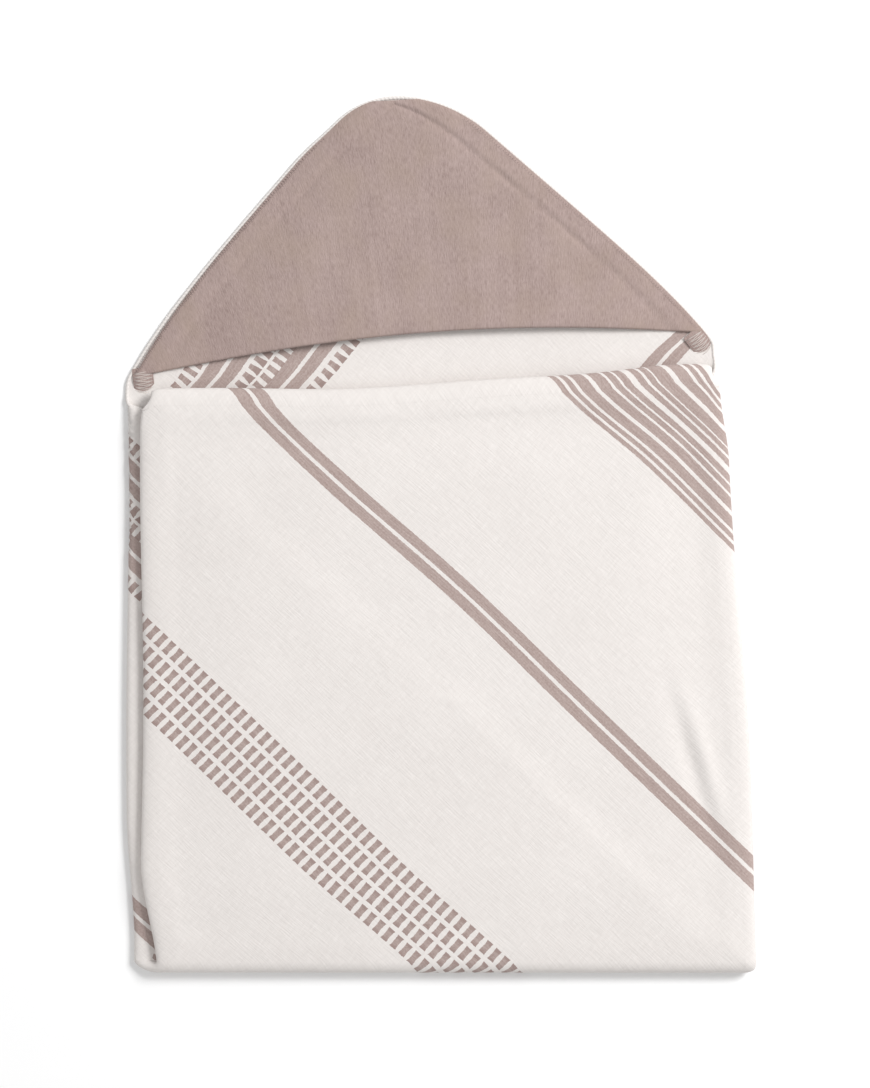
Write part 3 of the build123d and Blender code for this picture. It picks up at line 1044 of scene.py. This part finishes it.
# Cream cloth with its woven stripes and dashes, all read across the cloth; each thread row strays a
# little, and fine streaks run along the stripes.
def towelCloth():
    tree = Tree("towelCloth")
    u, v = tree.coordinates("cloth")
    wobble = tree.times(tree.minus(tree.noise(u, v, *weave["wobble"]), 0.5), weave["wobbleFar"])
    vStray = tree.plus(v, wobble)
    uStray = tree.plus(u, wobble)
    solids = [tree.bands(vStray, stripes[key]) for key in ("borderA", "pairA", "pairB", "borderB")]
    solid = tree.maths("MAXIMUM", tree.maths("MAXIMUM", *solids[:2]), tree.maths("MAXIMUM", *solids[2:]))
    pitch = stripes["rowPitch"]
    rows = [(stripes["rowStart"] + i * pitch, stripes["rowStart"] + i * pitch + stripes["rowLength"])
            for i in range(stripes["rows"])]
    inRow = tree.maths("MAXIMUM", tree.bands(vStray, stripes["borderADashes"]), tree.bands(vStray, rows))
    place = tree.maths("FRACT", tree.maths("DIVIDE", tree.minus(v, stripes["rowStart"]), pitch))
    half = stripes["rowLength"] / pitch / 2
    fromMiddle = tree.maths("DIVIDE", tree.maths("ABSOLUTE", tree.minus(place, half)), half)
    nearEnd = tree.maths("POWER", fromMiddle, 2.0)
    dash = tree.maths("FRACT", tree.maths("DIVIDE", uStray, stripes["dashPitch"]))
    dash = tree.times(tree.maths("ABSOLUTE", tree.minus(dash, 0.5)), stripes["dashPitch"])
    reach = tree.maths("MULTIPLY_ADD", nearEnd, stripes["dashFlare"] / 2, stripes["dashWidth"] / 2)
    dash = tree.times(tree.maths("LESS_THAN", dash, reach), inRow)
    mark = tree.maths("MAXIMUM", solid, dash)
    # melange: streaks along the weft, and threads of the cream showing through
    streak = tree.noise(u, v, *weave["streak"])
    fleck = tree.noise(u, v, *weave["fleck"], 1.0)
    pale = tree.times(tree.plus(streak, fleck), 0.5)
    pale = tree.maths("MULTIPLY_ADD", tree.minus(pale, 0.5), weave["paleGain"], 0.5)
    pale = tree.minus(pale, tree.times(dash, tree.times(nearEnd, weave["endsDarker"])))
    pale.node.use_clamp = True
    stripeTone = tree.mix(pale, tones["stripe"], tones["stripePale"])
    slub = tree.times(tree.noise(u, v, *weave["slubAcross"]), tree.noise(u, v, *weave["slubAlong"]))
    cloudy = tree.plus(tree.times(slub, weave["slubShare"]),
                       tree.times(tree.noise(u, v, *weave["cloud"]), weave["cloudShare"]))
    cloudy = tree.contrast(cloudy, weave["cloudMiddle"], weave["cloudGain"], 0.5)
    creamTone = tree.mix(cloudy, tones["creamShade"], tones["cream"])
    colour = tree.mix(mark, creamTone, stripeTone)
    # threads crossing at the weave's pitch, and the cloth's washed crinkle
    threads = tree.plus(tree.noise(u, v, *weave["threadsAlong"], 1.0),
                        tree.noise(u, v, *weave["threadsAcross"], 1.0))
    crinkle = tree.times(tree.noise(u, v, *weave["crinkle"]), weave["crinkleShare"])
    tree.bump(tree.plus(threads, crinkle), weave["relief"], weave["reliefDepth"])
    return tree.finish(colour, roughness=0.92, specular=0.15, sheen=0.12)


hoodWeave = {  # pairs are features per metre across the hood and along its middle line
    "fine": (1500, 230),
    "fineShare": 0.60,
    "broad": (320, 9),
    "broadShare": 0.18,
    "cloud": (26, 20),
    "cloudShare": 0.22,
    "pale": (0.5, 4.2, 0.52),  # middle, gain and offset of the contrast
    "dark": (0.44, -3.0, 0.0),
    "warm": (0.52, 3.0, 0.25),
    "warmPatch": (34, 22),
    "warmShare": 0.55,
    "lump": (300, 300),
    "lumpShare": 0.8,
    "relief": 0.5,
    "reliefDepth": 0.0007,
}


# Mauve cloth with fine slubs along the hood's middle line, darker and paler from thread to thread, and
# warmer in patches.
def hoodClothMaterial():
    tree = Tree("hoodCloth")
    p, q = tree.coordinates("cloth")
    fine = tree.noise(p, q, *hoodWeave["fine"], 3.0)
    broad = tree.noise(p, q, *hoodWeave["broad"])
    cloud = tree.noise(p, q, *hoodWeave["cloud"])
    tone = tree.plus(tree.times(fine, hoodWeave["fineShare"]), tree.times(broad, hoodWeave["broadShare"]))
    tone = tree.plus(tone, tree.times(cloud, hoodWeave["cloudShare"]))
    pale = tree.contrast(tone, *hoodWeave["pale"])
    dark = tree.contrast(tone, *hoodWeave["dark"])
    warm = tree.contrast(tree.noise(p, q, *hoodWeave["warmPatch"]), *hoodWeave["warm"])
    base = tree.mix(pale, tones["hood"], tones["hoodPale"])
    base = tree.mix(tree.times(warm, hoodWeave["warmShare"]), base, tones["hoodWarm"])
    colour = tree.mix(dark, base, tones["hoodDark"])
    height = tree.plus(fine, tree.times(tree.noise(p, q, *hoodWeave["lump"]), hoodWeave["lumpShare"]))
    tree.bump(height, hoodWeave["relief"], hoodWeave["reliefDepth"])
    return tree.finish(colour, roughness=0.9, specular=0.15, sheen=0.18)


# Twisted thread or a plain rolled edge: slanting turns of light and shade along it.
def plainThread(name, tone, shade, alongScale):
    tree = Tree(name)
    along, around = tree.coordinates("along")
    twist = tree.maths("SINE", tree.maths("MULTIPLY_ADD", along, alongScale, tree.times(around, 1000)))
    share = tree.maths("MULTIPLY_ADD", twist, 0.3, 0.5)
    share = tree.plus(share, tree.times(tree.noise(along, around, 400, 400), 0.4))
    share.node.use_clamp = True
    tree.bump(twist, 0.4, 0.0002)
    return tree.finish(tree.mix(share, shade, tone), roughness=0.85, specular=0.2, sheen=0.15)


towelMaterial, hoodMaterial = towelCloth(), hoodClothMaterial()
beadTwist, threadTwist = 2200, 5200  # radians of twist in a metre
beadMaterial = plainThread("rolledEdge", tones["cream"], tones["creamShade"], beadTwist)
threadMaterial = plainThread("seamThread", tones["thread"], tones["threadShade"], threadTwist)
legThreadMaterial = plainThread("legThread", tones["hoodPale"], tones["hood"], threadTwist)
for obj in (hoodEdgeBead, *seamPieces):
    obj.data.uv_layers["cloth"].name = "along"
hoodEdgeBead.data.materials.append(beadMaterial)
for obj in tabPieces:
    obj.data.materials.append(hoodMaterial)
for obj in seamPieces:
    obj.data.materials.append(legThreadMaterial if "Leg" in obj.name else threadMaterial)
for obj in (outerCloth, tipCloth, hoodCorner, *foldPieces, *flapPieces, *hemPieces):
    obj.data.materials.append(towelMaterial)
hoodPanel.data.materials.append(hoodMaterial)
print("materials made")

studio = {
    "floorHalf": 15,
    "key": {"place": (2.2, 1.5, 2.3), "size": 1.3, "power": 108},
    "fill": {"place": (-1.2, -0.6, 2.2), "size": 2.4, "power": 10},
    "ambient": 0.50,
    "target": (-0.01, 0.09, 0),
    "cameraHeight": 2.0,
    "lens": 92.5,
}
half = studio["floorHalf"]
corners = [(-half, -half, 0), (half, -half, 0), (half, half, 0), (-half, half, 0)]
floorMesh = bpy.data.meshes.new("floor")
floorMesh.from_pydata(corners, [], [(0, 1, 2, 3)])
floor = bpy.data.objects.new("floor", floorMesh)
bpy.context.scene.collection.objects.link(floor)
floorMesh.materials.append(Tree("paleFloor").finish(tones["floor"], roughness=0.9, specular=0.1))
for name in ("key", "fill"):
    lamp = bpy.data.lights.new(name, "AREA")
    lamp.size = studio[name]["size"]
    lamp.energy = studio[name]["power"]
    lampObj = bpy.data.objects.new(name, lamp)
    bpy.context.scene.collection.objects.link(lampObj)
    lampObj.location = studio[name]["place"]
    toTarget = Vector(studio["target"]) - lampObj.location
    lampObj.rotation_euler = toTarget.to_track_quat("-Z", "Y").to_euler()
world = bpy.data.worlds.new("studio")
bpy.context.scene.world = world
world.use_nodes = True
world.node_tree.nodes["Background"].inputs["Color"].default_value = (1, 1, 1, 1)
world.node_tree.nodes["Background"].inputs["Strength"].default_value = studio["ambient"]

cameraData = bpy.data.cameras.new("camera")
cameraData.lens = studio["lens"]
camera = bpy.data.objects.new("camera", cameraData)
camera.location = (*studio["target"][:2], studio["cameraHeight"])
bpy.context.scene.collection.objects.link(camera)
bpy.context.scene.camera = camera
bpy.context.scene.view_settings.view_transform = "Standard"
print("studio made")
